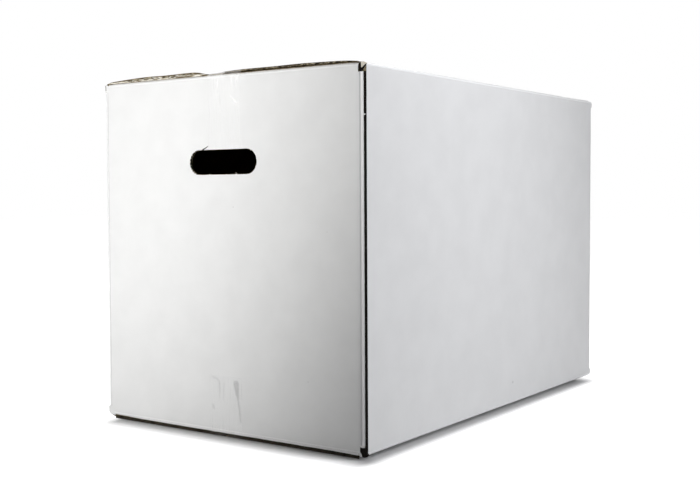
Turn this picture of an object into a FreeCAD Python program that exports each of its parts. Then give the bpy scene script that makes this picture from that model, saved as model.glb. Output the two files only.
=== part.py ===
"""Moving box: a folded, slotted corrugated box with hand holes, closed with clear tape.

Frame: +Z up, origin at the centre of the footprint on the floor. The end panels with the hand
holes face -Y and +Y, the long side panels face -X and +X, and the glued lap joint is at +X -Y.
"""
import FreeCAD, Part
import math
import os
import Sketcher

# Driving dimensions in millimetres.
DIMENSIONS = {
    "box_width": 376,            # outside, across the two side panels
    "box_length": 575,           # outside, from end panel to end panel
    "crease_height": 394,        # from the bottom creases to the top creases
    "board_thickness": 3.8,      # single-wall board, C flute
    "liner_thickness": 0.45,     # each facing of the board
    "crease_inner_radius": 0.5,  # inside of every fold
    "end_flap_inset": 5.6,       # from a side panel's outer face to the edge of an end flap
    "side_inset": 0.8,           # side flaps' cut ends and lap's raw edge, behind an end face
    "slot_overcut": 10,          # how far the slots run past the creases into the panels
    "seam_gap": 1.2,             # between the side flaps' free edges, at the centre seam
    "flap_gap": 0.2,             # between the end flaps and the side flaps folded over them
    "flap_rise_run": 30,         # length over which a side flap climbs onto the end flaps
    "margin_crush": 2.9,         # how far the end flaps' edges are pressed in under that climb
    "crest_flat": 1.4,           # top of an end panel's fold, which gives way only at its corners
    "corner_crush": 0.7,         # how far it gives way there
    "corner_run": 12,            # over this length
    "notch_clearance": 0.6,      # between an end flap's edge and the side flap crushed round it
    "flap_bow": 0.5,             # crown of the top flap on the -X side
    "bow_clearance": 28,         # the crown ends this far from the middle, beside the tape
    "bow_roundness": 0.35,       # 0.5 makes the crown one arc, less leaves a slope on both sides
    "open_flute_depth": 3,       # how deep the fluting stands back at the cut edges
    "lap_glue_start": 2.4,       # where the tab's bend first touches the side panel
    "glue_tab_width": 34,
    "glue_tab_shoulder": 4,      # straight end of the tab beside its bend, before the slant
    "glue_tab_taper": 12,        # how much shorter the tab's free edge is, at each end
    "hand_hole_width": 97,
    "hand_hole_height": 27.4,
    "hand_hole_drop": 95.4,      # hand hole centre below the top creases
    "tape_width": 48,
    "tape_thickness": 0.1,
    "top_tape_offset": 1.4,      # centre line of the top tape from the middle
    "bottom_tape_offset": -1,    # centre line of the bottom tape from the middle
    "rim_tape_return": 8,        # top tape up the inside of the front panel, past the hand hole
    "rear_tape_tail": 66,        # top tape down the rear panel, below the crease
    "bottom_tape_tail": 63.5,    # bottom tape up both end panels, above the crease
}

# Expressions that several sketches share.
HALF_WIDTH = "Size.box_width / 2"
HALF_LENGTH = "Size.box_length / 2"
BOARD = "Size.board_thickness"
TAPE = "Size.tape_thickness"
INNER_FOLD = "Size.crease_inner_radius"
OUTER_FOLD = f"({INNER_FOLD} + {BOARD})"
BOTTOM_CREASE = f"({TAPE} + {BOARD} + Size.flap_gap)"
TOP_CREASE = f"({BOTTOM_CREASE} + Size.crease_height)"
FLAP_LIFT = f"({BOARD} + Size.flap_gap)"
HOLE_CENTRE = f"({TOP_CREASE} - Size.hand_hole_drop)"
PANEL_MIDDLE = f"(-{BOARD} / 2)"
CREST_END = f"({HALF_LENGTH} - {OUTER_FOLD} - Size.crest_flat)"
FLAP_LENGTH = f"({HALF_WIDTH} - Size.seam_gap / 2)"  # all eight flaps, from the panel's face

BEYOND = "1"  # pockets run this far past the faces they cut

CONCAVE = "concave"  # marks a round pin that the outline passes on its hollow side

doc = FreeCAD.newDocument("moving_box")


def make_sheet():
    sheet = doc.addObject("Spreadsheet::Sheet", "Size")
    for row, (name, value) in enumerate(DIMENSIONS.items(), start=1):
        sheet.set(f"A{row}", name)
        sheet.set(f"B{row}", str(value))
        sheet.setAlias(f"B{row}", name)
    doc.recompute()


def new_body(name):
    body = doc.addObject("PartDesign::Body", name)
    body.Label = name
    body.Placement = FreeCAD.Placement()
    return body


def new_sketch(body, name, role, offset=None):
    """A sketch on one of the body's own planes, moved along the plane's normal by offset."""
    sketch = body.newObject("Sketcher::SketchObject", name)
    plane = next(p for p in body.Origin.OriginFeatures if p.Role == role)
    sketch.AttachmentSupport = [(plane, "")]
    sketch.MapMode = "FlatFace"
    if offset:
        sketch.setExpression("AttachmentOffset.Base.z", offset)
    doc.recompute()
    return sketch


def bind(sketch, value, kind, *geometry):
    """Add a driving constraint and tie its value to an expression of the sheet."""
    index = sketch.addConstraint(Sketcher.Constraint(kind, *geometry, sketch.evalExpression(value)))
    sketch.setExpression(f"Constraints[{index}]", value)


def wrap(sketch, pins):
    """Draw a closed outline like a belt round pins.

    A pin is (x, y) for a sharp corner or (x, y, radius) for a round one, whose centre is at x, y.
    The radius is followed by CONCAVE where the outline bends the other way. Straight lines touch
    the round pins, and every pin is tied to its expressions.
    """
    count = len(pins)
    centres = [FreeCAD.Vector(*[sketch.evalExpression(e) for e in pin[:2]], 0) for pin in pins]
    radii = [sketch.evalExpression(pin[2]) if len(pin) > 2 else 0 for pin in pins]
    area = sum(centres[i - 1].cross(centres[i]).z for i in range(count))
    way_round = 1 if area > 0 else -1
    turns = [-way_round if CONCAVE in pin else way_round for pin in pins]
    headings = []
    for i in range(count):
        j = (i + 1) % count
        step = centres[j] - centres[i]
        lean = math.asin((turns[i] * radii[i] - turns[j] * radii[j]) / step.Length)
        headings.append(math.atan2(step.y, step.x) + lean)

    def touch(i, heading):
        side = FreeCAD.Vector(math.sin(heading), -math.cos(heading), 0)
        return centres[i] + side * turns[i] * radii[i]

    lines = []
    for i in range(count):
        start = touch(i, headings[i])
        end = touch((i + 1) % count, headings[i])
        lines.append(sketch.addGeometry(Part.LineSegment(start, end), False))
    for i, pin in enumerate(pins):
        before, after = lines[i - 1], lines[i]
        if not radii[i]:
            sketch.addConstraint(Sketcher.Constraint("Coincident", before, 2, after, 1))
            bind(sketch, pin[0], "DistanceX", -1, 1, after, 1)
            bind(sketch, pin[1], "DistanceY", -1, 1, after, 1)
            continue
        first, last = [h - turns[i] * math.pi / 2 for h in (headings[i - 1], headings[i])]
        if turns[i] < 0:
            first, last = last, first
        last = first + (last - first) % (2 * math.pi)
        circle = Part.Circle(centres[i], FreeCAD.Vector(0, 0, 1), radii[i])
        arc = sketch.addGeometry(Part.ArcOfCircle(circle, first, last), False)
        arc_in, arc_out = (1, 2) if turns[i] > 0 else (2, 1)
        sketch.addConstraint(Sketcher.Constraint("Tangent", before, 2, arc, arc_in))
        sketch.addConstraint(Sketcher.Constraint("Tangent", arc, arc_out, after, 1))
        bind(sketch, pin[0], "DistanceX", -1, 1, arc, 3)
        bind(sketch, pin[1], "DistanceY", -1, 1, arc, 3)
        bind(sketch, pin[2], "Radius", arc)
    doc.recompute()


def extrude(body, kind, name, sketch, low, high):
    """Pad or pocket a sketch from low to high, measured along its plane's normal."""
    feature = body.newObject(f"PartDesign::{kind}", name)
    feature.Profile = sketch
    feature.SideType = "Two sides"
    ahead, behind = ("Length", "Length2") if kind == "Pad" else ("Length2", "Length")
    feature.setExpression(ahead, high)
    feature.setExpression(behind, f"-({low})")
    before = body.Shape.Volume if kind == "Pocket" else 0
    doc.recompute()
    if kind == "Pocket" and body.Shape.Volume > before - 1:
        raise RuntimeError(f"{name} cuts nothing")
    return feature


def add_panels(body):
    """The four panels between the slot ends, with the glue tab inside the +X side panel."""
    right, left = f"{HALF_WIDTH} - {OUTER_FOLD}", f"-({HALF_WIDTH} - {OUTER_FOLD})"
    rear, front = f"{HALF_LENGTH} - {OUTER_FOLD}", f"-({HALF_LENGTH} - {OUTER_FOLD})"
    lap = f"{HALF_WIDTH} - {BOARD} - {OUTER_FOLD}"
    seat = f"{HALF_WIDTH} - {BOARD}"
    raw_end = f"-{HALF_LENGTH} + Size.side_inset"
    flute_end = f"{raw_end} + Size.open_flute_depth"
    tab_end = f"-{HALF_LENGTH} + {OUTER_FOLD} + Size.glue_tab_width"
    sketch = new_sketch(body, "panel_plan", "XY_Plane", f"{BOTTOM_CREASE} + Size.slot_overcut")
    wrap(sketch, [
        (left, front, OUTER_FOLD),
        (lap, front, OUTER_FOLD),
        (seat, f"-{HALF_LENGTH} + Size.lap_glue_start"),
        (seat, raw_end),
        (f"{seat} + Size.liner_thickness", raw_end),
        (f"{seat} + Size.liner_thickness", flute_end),
        (f"{HALF_WIDTH} - Size.liner_thickness", flute_end),
        (f"{HALF_WIDTH} - Size.liner_thickness", raw_end),
        (HALF_WIDTH, raw_end),
        (right, rear, OUTER_FOLD),
        (left, rear, OUTER_FOLD),
    ])
    wrap(sketch, [
        (left, front, INNER_FOLD),
        (lap, front, INNER_FOLD),
        (f"{HALF_WIDTH} - 2 * {BOARD}", tab_end),
        (seat, tab_end),
        (right, rear, INNER_FOLD),
        (left, rear, INNER_FOLD),
    ])
    extrude(body, "Pad", "panels", sketch, "0", "Size.crease_height - 2 * Size.slot_overcut")


def taper_glue_tab(body):
    """Cut both ends of the glue tab at a slant, so that it stays clear of the flaps."""
    bend = f"-{HALF_LENGTH} + {OUTER_FOLD}"
    start = f"{bend} + Size.glue_tab_shoulder"
    end = f"{bend} + Size.glue_tab_width"
    for name, slot_end, inward in (
        ("bottom", f"{BOTTOM_CREASE} + Size.slot_overcut", "1"),
        ("top", f"{TOP_CREASE} - Size.slot_overcut", "-1"),
    ):
        sketch = new_sketch(body, f"tab_taper_{name}", "YZ_Plane", f"{HALF_WIDTH} - {BOARD}")
        wrap(sketch, [
            (start, slot_end),
            (start, f"{slot_end} - {inward} * {BOARD}"),
            (f"{end} + {BOARD}", f"{slot_end} - {inward} * {BOARD}"),
            (f"{end} + {BOARD}", f"{slot_end} + {inward} * Size.glue_tab_taper"),
        ])
        extrude(body, "Pocket", f"tab_end_{name}", sketch, f"-{BOARD} - {BEYOND}", "0")


def add_end_flap(body, name, side, up):
    """An end panel's edge, fold and flap, between the slots.

    side is -1 at the front and 1 at the rear, up is 1 at the top and -1 at the bottom.
    """
    crease = TOP_CREASE if up > 0 else BOTTOM_CREASE
    across = f"{side} * ({HALF_LENGTH}"
    fold = (f"{across} - {OUTER_FOLD})", f"{crease} - {up} * {OUTER_FOLD}")
    slot_end = f"{crease} - {up} * Size.slot_overcut"
    tip = f"{across} - {FLAP_LENGTH})"
    sketch = new_sketch(body, f"{name}_section", "YZ_Plane")
    wrap(sketch, [
        (f"{across})", slot_end),
        (*fold, OUTER_FOLD),
        (tip, crease),
        (tip, f"{crease} - {up} * {BOARD}"),
        (*fold, INNER_FOLD, CONCAVE),
        (f"{across} - {BOARD})", slot_end),
    ])
    lap = BOARD if side < 0 else "0"
    extrude(body, "Pad", name, sketch, f"-{HALF_WIDTH} + Size.end_flap_inset",
            f"{HALF_WIDTH} - {lap} - Size.end_flap_inset")


def crush_end_flaps(body, name, side, up):
    """The end flaps' margins are pressed down where a side flap climbs over them."""
    crease = TOP_CREASE if up > 0 else BOTTOM_CREASE
    across = f"{side} * ({HALF_WIDTH}"
    pressed = f"{crease} - {up} * Size.margin_crush"
    sketch = new_sketch(body, f"{name}_section", "XZ_Plane")
    wrap(sketch, [
        (f"{across} - Size.flap_rise_run)", crease),
        (f"{across} - Size.end_flap_inset)", pressed),
        (f"{across})", pressed),
        (f"{across})", f"{crease} + {up} * {BOARD}"),
        (f"{across} - Size.flap_rise_run)", f"{crease} + {up} * {BOARD}"),
    ])
    extrude(body, "Pocket", name, sketch, f"-{CREST_END}", CREST_END)
    corner = f"{crease} - {up} * Size.corner_crush"
    sketch = new_sketch(body, f"{name}_corner_section", "XZ_Plane")
    wrap(sketch, [
        (f"{across} - Size.end_flap_inset - Size.corner_run)", crease),
        (f"{across} - Size.end_flap_inset)", corner),
        (f"{across})", corner),
        (f"{across})", f"{crease} + {up} * {BOARD}"),
        (f"{across} - Size.end_flap_inset - Size.corner_run)", f"{crease} + {up} * {BOARD}"),
    ])
    extrude(body, "Pocket", f"{name}_corner", sketch, f"-{HALF_LENGTH}", HALF_LENGTH)


def side_flap_faces(side, up, skin, bow):
    """Outer and inner outline of a side flap's level part, with a skin taken off both faces.

    The outer one runs from the climb to the free edge, and the inner one back again.
    """
    crease = TOP_CREASE if up > 0 else BOTTOM_CREASE
    climb = f"{side} * ({HALF_WIDTH} - Size.flap_rise_run)"
    tip = f"{side} * ({HALF_WIDTH} - {FLAP_LENGTH})"
    over = f"{crease} + {up} * ({FLAP_LIFT} - {skin})"
    under = f"{crease} + {up} * (Size.flap_gap + {skin})"
    outer = [(climb, over), (tip, over)]
    inner = [(tip, under), (climb, under)]
    if bow:
        half_span = f"(({HALF_WIDTH} - Size.flap_rise_run - Size.bow_clearance) / 2)"
        middle = f"{side} * (Size.bow_clearance + {half_span})"
        radius = f"(Size.bow_roundness * {half_span}^2 / Size.flap_bow)"
        centre = f"{crease} + {up} * ({FLAP_LIFT} + Size.flap_bow - {radius})"
        flat = f"{side} * Size.bow_clearance"
        outer[1:1] = [(middle, centre, f"{radius} - {skin}"), (flat, over)]
        inner[1:1] = [(flat, under), (middle, centre, f"{radius} - {BOARD} + {skin}", CONCAVE)]
    return outer, inner


def add_side_flap(body, name, side, up, bow):
    """A side panel's edge, fold and flap.

    Both cut ends stand over the end panels' folds, where the board is crushed thinner. Their
    fluting is open, except in that crushed part.
    """
    crease = TOP_CREASE if up > 0 else BOTTOM_CREASE
    across = f"{side} * ({HALF_WIDTH}"
    fold = (f"{across} - {OUTER_FOLD})", f"{crease} - {up} * {OUTER_FOLD}")
    slot_end = f"{crease} - {up} * Size.slot_overcut"
    outer, inner = side_flap_faces(side, up, "0", bow)
    outer = [(f"{across})", slot_end), (*fold, OUTER_FOLD)] + outer
    foot = [(*fold, INNER_FOLD, CONCAVE), (f"{across} - {BOARD})", slot_end)]
    pressed = f"{crease} + {up} * (Size.flap_gap - Size.margin_crush)"
    margin = (f"{across} - Size.end_flap_inset)", pressed)
    sketch = new_sketch(body, f"{name}_section", "XZ_Plane")
    wrap(sketch, outer + inner + [margin] + foot)
    extrude(body, "Pad", name, sketch, f"-{CREST_END}", CREST_END)

    end = f"({HALF_LENGTH} - Size.side_inset)"
    level = f"{crease} + {up} * Size.flap_gap"
    given = f"{level} - {up} * Size.corner_crush"
    inner[-1] = (f"{across} - Size.end_flap_inset - Size.corner_run)", level)
    past_flap = f"{across} - Size.end_flap_inset + Size.notch_clearance)"
    past_lap = f"{across} - {BOARD} - Size.end_flap_inset + Size.notch_clearance)"
    lap_share = f"(Size.corner_run - {BOARD} + Size.notch_clearance) / Size.corner_run"
    for place, low, high in (("rear", f"-{end}", f"-{CREST_END}"), ("front", CREST_END, end)):
        step = [(past_flap, given)]
        if place == "front" and side > 0:
            step = [(past_lap, f"{given} * {lap_share}"), (past_lap, pressed), margin]
        sketch = new_sketch(body, f"{name}_{place}_section", "XZ_Plane")
        wrap(sketch, outer + inner + step + foot)
        extrude(body, "Pad", f"{name}_{place}", sketch, low, high)
    for place, low, high in (
        ("rear", f"-{end} - {BEYOND}", f"-{end} + Size.open_flute_depth"),
        ("front", f"{end} - Size.open_flute_depth", f"{end} + {BEYOND}"),
    ):
        sketch = new_sketch(body, f"{name}_{place}_flute_section", "XZ_Plane")
        between = side_flap_faces(side, up, "Size.liner_thickness", bow)
        wrap(sketch, between[0] + between[1])
        extrude(body, "Pocket", f"{name}_{place}_flute", sketch, low, high)


def cut_hand_holes(body):
    """One die-cut hand hole with round ends through both end panels."""
    radius = "Size.hand_hole_height / 2"
    reach = f"(Size.hand_hole_width / 2 - {radius})"
    sketch = new_sketch(body, "hand_hole_shape", "XZ_Plane")
    wrap(sketch, [
        (f"{PANEL_MIDDLE} - {reach}", HOLE_CENTRE, radius),
        (f"{PANEL_MIDDLE} + {reach}", HOLE_CENTRE, radius),
    ])
    through = f"{HALF_LENGTH} + {BEYOND}"
    extrude(body, "Pocket", "hand_holes", sketch, f"-({through})", through)


def make_board():
    """The folded blank: everything that was die cut, creased and glued from one sheet."""
    body = new_body("box_board")
    add_panels(body)
    taper_glue_tab(body)
    for place, up in (("bottom", -1), ("top", 1)):
        for end, side in (("front", -1), ("rear", 1)):
            add_end_flap(body, f"{place}_{end}_flap", side, up)
        for edge, side in (("left", -1), ("right", 1)):
            crush_end_flaps(body, f"{place}_{edge}_crush", side, up)
        for edge, side in (("left", -1), ("right", 1)):
            add_side_flap(body, f"{place}_{edge}_flap", side, up, up > 0 and side < 0)
    cut_hand_holes(body)
    return body


def tape_over_flaps(crease, up):
    """What a tape bears on from the front fold to the rear fold: (y, z, radius of the board)."""
    fold = f"{crease} - {up} * {OUTER_FOLD}"
    face = f"{crease} + {up} * {FLAP_LIFT}"
    return [
        (f"-({HALF_LENGTH} - {OUTER_FOLD})", fold, OUTER_FOLD),
        (f"-({HALF_LENGTH} - Size.side_inset)", face, None),
        (f"{HALF_LENGTH} - Size.side_inset", face, None),
        (f"{HALF_LENGTH} - {OUTER_FOLD}", fold, OUTER_FOLD),
    ]


def make_tape(name, offset, route, start, end):
    """A strip of tape laid along the route, as wide as the roll.

    start and end are the places of its cut ends: (y, z, which way its outer side faces in y).
    """
    body = new_body(name)
    sketch = new_sketch(body, f"{name}_section", "YZ_Plane")
    sticky = [(y, z, radius, CONCAVE) if radius else (y, z) for y, z, radius in route]
    outer = [(y, z, f"{radius or 0} + {TAPE}") for y, z, radius in reversed(route)]
    wrap(sketch, [
        start[:2],
        *sticky,
        end[:2],
        (f"{end[0]} + {end[2]} * {TAPE}", end[1]),
        *outer,
        (f"{start[0]} + {start[2]} * {TAPE}", start[1]),
    ])
    extrude(body, "Pad", f"{name}_strip", sketch, f"{offset} - Size.tape_width / 2",
            f"{offset} + Size.tape_width / 2")
    return body


def make_top_tape():
    """Tape along the top seam, down into the front hand hole and a short way down the rear."""
    hole_top = f"{HOLE_CENTRE} + Size.hand_hole_height / 2"
    inside = f"-{HALF_LENGTH} + {BOARD}"
    route = [
        (inside, hole_top, None),
        (f"-{HALF_LENGTH}", hole_top, None),
        *tape_over_flaps(TOP_CREASE, 1),
    ]
    start = (inside, f"{hole_top} + Size.rim_tape_return", 1)
    end = (HALF_LENGTH, f"{TOP_CREASE} - Size.rear_tape_tail", 1)
    return make_tape("top_tape", "Size.top_tape_offset", route, start, end)


def make_bottom_tape():
    """Tape along the bottom seam, with a tail up each end panel."""
    tail = f"{BOTTOM_CREASE} + Size.bottom_tape_tail"
    start = (f"-{HALF_LENGTH}", tail, -1)
    end = (HALF_LENGTH, tail, 1)
    route = tape_over_flaps(BOTTOM_CREASE, -1)
    return make_tape("bottom_tape", "Size.bottom_tape_offset", route, start, end)


def check_document(bodies):
    for item in doc.Objects:
        if {"Invalid", "Error"} & set(item.State):
            raise RuntimeError(f"{item.Name} did not build: {item.State}")
    for body in bodies:
        if body.Shape.isNull() or not body.Shape.isValid() or len(body.Shape.Solids) != 1:
            raise RuntimeError(f"{body.Label} is not one valid solid")


make_sheet()
pieces = [make_board(), make_top_tape(), make_bottom_tape()]
doc.recompute()
check_document(pieces)
os.makedirs("parts", exist_ok=True)
for piece in pieces:
    piece.Shape.exportStep(f"parts/{piece.Label}.step")
    print(f"{piece.Label}: {piece.Shape.Volume / 1000:.1f} cm3")
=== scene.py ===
"""Moving box: one slotted blank of white-lined corrugated board, folded, glued and taped shut.

The board is built the way it is made: a white liner, a fluted medium and a kraft liner, each its
own thin sheet, folded together at the creases. Lengths are in millimetres until the meshes are
made. A "line" of the blank runs up the box, and a "row" runs round it.
"""

import math

import bpy
import numpy as np
from mathutils import Matrix, Vector


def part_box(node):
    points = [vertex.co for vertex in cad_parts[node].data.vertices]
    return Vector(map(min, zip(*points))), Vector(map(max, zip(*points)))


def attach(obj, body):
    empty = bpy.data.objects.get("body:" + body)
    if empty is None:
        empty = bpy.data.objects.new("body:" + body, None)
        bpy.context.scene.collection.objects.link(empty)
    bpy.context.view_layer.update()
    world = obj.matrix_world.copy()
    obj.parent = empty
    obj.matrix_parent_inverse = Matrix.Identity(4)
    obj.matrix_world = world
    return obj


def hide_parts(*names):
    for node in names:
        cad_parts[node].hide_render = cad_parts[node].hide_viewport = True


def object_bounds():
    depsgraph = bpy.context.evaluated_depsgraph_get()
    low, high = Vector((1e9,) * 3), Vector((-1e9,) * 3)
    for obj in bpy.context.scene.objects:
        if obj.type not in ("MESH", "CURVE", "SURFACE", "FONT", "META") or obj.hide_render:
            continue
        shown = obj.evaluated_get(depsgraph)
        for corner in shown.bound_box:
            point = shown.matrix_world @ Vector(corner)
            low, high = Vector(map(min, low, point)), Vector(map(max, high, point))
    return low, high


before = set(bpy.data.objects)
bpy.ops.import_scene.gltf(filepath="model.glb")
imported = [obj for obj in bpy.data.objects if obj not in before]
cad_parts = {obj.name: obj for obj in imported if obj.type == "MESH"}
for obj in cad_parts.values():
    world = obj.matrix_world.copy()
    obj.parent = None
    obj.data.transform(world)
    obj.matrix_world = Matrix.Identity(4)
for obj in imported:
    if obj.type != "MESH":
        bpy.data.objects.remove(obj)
cad_low, cad_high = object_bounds()
MM = 0.001

# ---------- sizes of the real thing
board_low, board_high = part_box("box_board")
WIDTH = (board_high.x - board_low.x) / MM
LENGTH = (board_high.y - board_low.y) / MM
HALF_WIDTH, HALF_LENGTH = WIDTH / 2, LENGTH / 2
CALIPER = 3.8  # thickness of the board
LINER = 0.4  # each facing
MEDIUM = 0.24  # paper of the fluting
FLUTE_PITCH = 7.8  # C flute
FOLD = 4.3  # outer radius of every fold
LOW_CREASE = 4.1  # heights of the folds between the panels and their flaps
HIGH_CREASE = 398.1
CREASE = {-1: LOW_CREASE, 1: HIGH_CREASE}  # by up: -1 at the bottom, 1 at the top
SLOT = 10.0  # the slots run this far past the creases
END_FLAP_INSET = 5.6  # from a side panel's outer face to the edge of an end flap
NEAR_FLAP_INSET = 3.9  # the same at the front's -X corner, where the slot was cut off centre
SIDE_INSET = 0.8  # side flaps' cut ends and the lap's raw edge, behind the corner
SEAM_GAP = 1.2  # between the side flaps' tips
REACH = HALF_WIDTH - SEAM_GAP / 2  # every flap, from its panel's outer face
TAB = 34.0  # width of the glue tab
TAB_TAPER = 12.0  # how much shorter it is at each end along its free edge
HOLE_X = -1.9  # middle of both hand holes
HOLE_Z = 302.7
HOLE_HALF_HEIGHT = 13.7
HOLE_STRAIGHT = 34.8  # half of the straight part
HOLE_TIP = 1.5  # half of the short upright at each end of the hole
LEAN = 2.3  # the -X side panel leans in this far at the top
HOLLOW = 0.35  # the panels are this much hollow in the middle
LOWER_FOLD = 1.3  # the +X side panel's upper fold lies lower than the others
HOLLOW_AT_ENDS = 0.4  # share of the end panels' hollow left at the top and the bottom
CREST = 8.5  # the side flaps are crushed thin this far in over the end panels' folds
CREST_RAMP = 2.2  # and thicken again over this length
THINNEST = 0.12  # share of the board's thickness left where it is crushed hardest
SINK_REACH = 2.2  # an end flap drops under the side flaps within this length
SUNK_THINS = 0.16  # share of an end flap's thickness lost for each millimetre it sinks
SUNK_THINNEST = 0.4
FLAP_CLEARANCE = 0.08
HOLE_PULL = 12.0  # the rows' bend round a hand hole dies away over this length

# ---------- small mathematics


def waves(seed, size, *axes):
    """Smooth random relief, about -1 to 1, whose swells are about size long."""
    draw = np.random.default_rng(seed)
    total = 0.0
    for _ in range(7):
        way = draw.normal(size=len(axes))
        way *= draw.uniform(0.6, 1.5) / (np.linalg.norm(way) * size)
        phase = draw.uniform(0, 2 * math.pi)
        total = total + np.sin(2 * math.pi * sum(w * a for w, a in zip(way, axes)) + phase)
    return total / 4


def ripples(seed, size, run):
    """The same relief along one line."""
    return waves(seed, size, run, 0 * run)


def along(points, x):
    """A smooth curve through (x, value) points, level beyond its ends."""
    px, py = (np.array(column, float) for column in zip(*points))
    slope = np.zeros_like(px)
    left, right = (np.diff(py) / np.diff(px))[:-1], (np.diff(py) / np.diff(px))[1:]
    both = left * right > 0
    slope[1:-1] = np.where(both, 2 * left * right / np.where(both, left + right, 1), 0)
    slope[0] = (py[1] - py[0]) / (px[1] - px[0])
    x = np.clip(x, px[0], px[-1])
    i = np.clip(np.searchsorted(px, x, side="right") - 1, 0, len(px) - 2)
    step = px[i + 1] - px[i]
    t = (x - px[i]) / step
    return (py[i] * (1 + 2 * t) * (1 - t) ** 2 + slope[i] * step * t * (1 - t) ** 2
            + py[i + 1] * t * t * (3 - 2 * t) + slope[i + 1] * step * t * t * (t - 1))


def fade(distance, reach):
    """1 at no distance, smoothly down to 0 at reach."""
    t = np.clip(1 - np.abs(distance) / reach, 0, 1)
    return t * t * (3 - 2 * t)


# ---------- how the flaps lie
# How high a side flap's outer face stands over the crease, by the distance in from its panel's
# outer face. Its cut ends are crushed on the end panels' folds, so they have curves of their own.
# The upper -X flap is crowned, and its corner at the front seam is crushed under the tape.
LEFT_FRONT = [(4.3, 0.3), (7, 0.9), (12, 1.8), (22, 2.4), (32, 2.9), (43, 3.4), (73, 4.3), (101, 3.9),
              (130, 4.4), (141, 4.4), (148.4, 4.1), (157.4, 2.5), (166.4, 0.9), (174, 1.0), (187.4, 1.6)]
LEFT = [(4.3, 0.0), (10, 1.6), (24, 3.3), (50, 4.2), (95, 4.45), (140, 4.3), (160, 4.0), (187.4, 3.9)]
RIGHT_FRONT = [(4.3, -1.3), (7, -0.4), (11, 0.8), (33, 2.4), (55, 2.9), (85, 3.4), (117, 3.0),
               (150, 3.1), (167, 2.9), (183.7, 2.4), (187.4, 2.2)]
RIGHT = [(4.3, -1.3), (10, 0.6), (24, 2.6), (50, 3.6), (110, 4.0), (187.4, 3.9)]
REAR_END = [(4.3, -0.2), (12, 1.3), (26, 2.4), (48, 3.2), (95, 3.7), (150, 3.5), (187.4, 3.0)]
BOTTOM = [(4.3, 0.0), (10, 1.5), (24, 3.1), (45, 3.8), (187.4, 3.85)]
BOTTOM_END = [(4.3, 0.2), (9, 1.6), (20, 2.9), (45, 3.6), (187.4, 3.7)]
CURVES = {  # (side, up): at the front end, over the length, at the rear end
    (-1, 1): (LEFT_FRONT, LEFT, REAR_END),
    (1, 1): (RIGHT_FRONT, RIGHT, REAR_END),
    (-1, -1): (BOTTOM_END, BOTTOM, BOTTOM_END),
    (1, -1): (BOTTOM_END, BOTTOM, BOTTOM_END),
}
END_REACH = 60.0  # how far along the flap an end's own curve carries
CREST_GIVE = 0.7  # the end panels' folds give way this much at their corners
GIVE_REACH = 12.0


def side_flap_rise(side, up, y, w):
    """Outer face of a side flap over its crease, w in from the side panel's outer face."""
    front, middle, rear = CURVES[side, up]
    at_front = fade(y + HALF_LENGTH - SIDE_INSET, END_REACH)
    at_rear = fade(HALF_LENGTH - SIDE_INSET - y, END_REACH)
    level = along(middle, w) * (1 - at_front - at_rear)
    return along(front, w) * at_front + along(rear, w) * at_rear + level


def rise_beside(x, up, y, w):
    """The same of the side flap on x's side."""
    return np.where(x < 0, side_flap_rise(-1, up, y, w), side_flap_rise(1, up, y, w))


def rise_over(up, x, y):
    """The same for any place on the top or the underside, whichever side flap is there."""
    left = side_flap_rise(-1, up, y, x + HALF_WIDTH)
    right = side_flap_rise(1, up, y, HALF_WIDTH - x)
    share = np.clip(x / SEAM_GAP + 0.5, 0, 1)
    return left * (1 - share) + right * share


ROWS_AT_HOLE = 6.0  # half the space between the hole's two rows, away from the hole


def hole_half_height(x, margin):
    """Half the height of the hand hole's row gap at x, grown by margin for the recessed fluting."""
    radius = HOLE_HALF_HEIGHT + margin
    out = np.abs(x - HOLE_X) - HOLE_STRAIGHT
    round_end = np.sqrt(np.clip(radius ** 2 - np.clip(out, 0, radius) ** 2, 0, None))
    beyond = HOLE_TIP + (ROWS_AT_HOLE - HOLE_TIP) * (1 - fade(out - radius, 30))
    return np.where(out > radius, beyond, np.maximum(round_end, HOLE_TIP))


# ---------- the blank
ENDS = ("front", "rear")
OVER = FOLD - SIDE_INSET  # a side flap's cut end stands this far past its panel's flat part
EDGE = END_FLAP_INSET - FOLD
LAP = HALF_WIDTH - CALIPER  # outer face of the glue tab
# panel, where it starts, which way it runs, how long its flat part is, and for both ends of it
# the flap's edge from that end and how far the flap reaches past it
RUNS = [
    ("tab", (LAP, -HALF_LENGTH + FOLD + TAB), (0, -1), TAB, None, None),
    ("front", (LAP - FOLD, -HALF_LENGTH), (-1, 0), LAP + HALF_WIDTH - 2 * FOLD,
     (EDGE, 0), (0, FOLD - NEAR_FLAP_INSET)),
    ("left", (-HALF_WIDTH, -HALF_LENGTH + FOLD), (0, 1), LENGTH - 2 * FOLD, (0, 0), (OVER, OVER)),
    ("rear", (-HALF_WIDTH + FOLD, HALF_LENGTH), (1, 0), WIDTH - 2 * FOLD, (EDGE, EDGE), (0, 0)),
    ("right", (HALF_WIDTH, HALF_LENGTH - FOLD), (0, -1), LENGTH - FOLD - SIDE_INSET, (0, 0),
     (OVER, 0)),
]
NEUTRAL = FOLD - CALIPER / 2  # radius of the folds' unstretched middle


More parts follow.
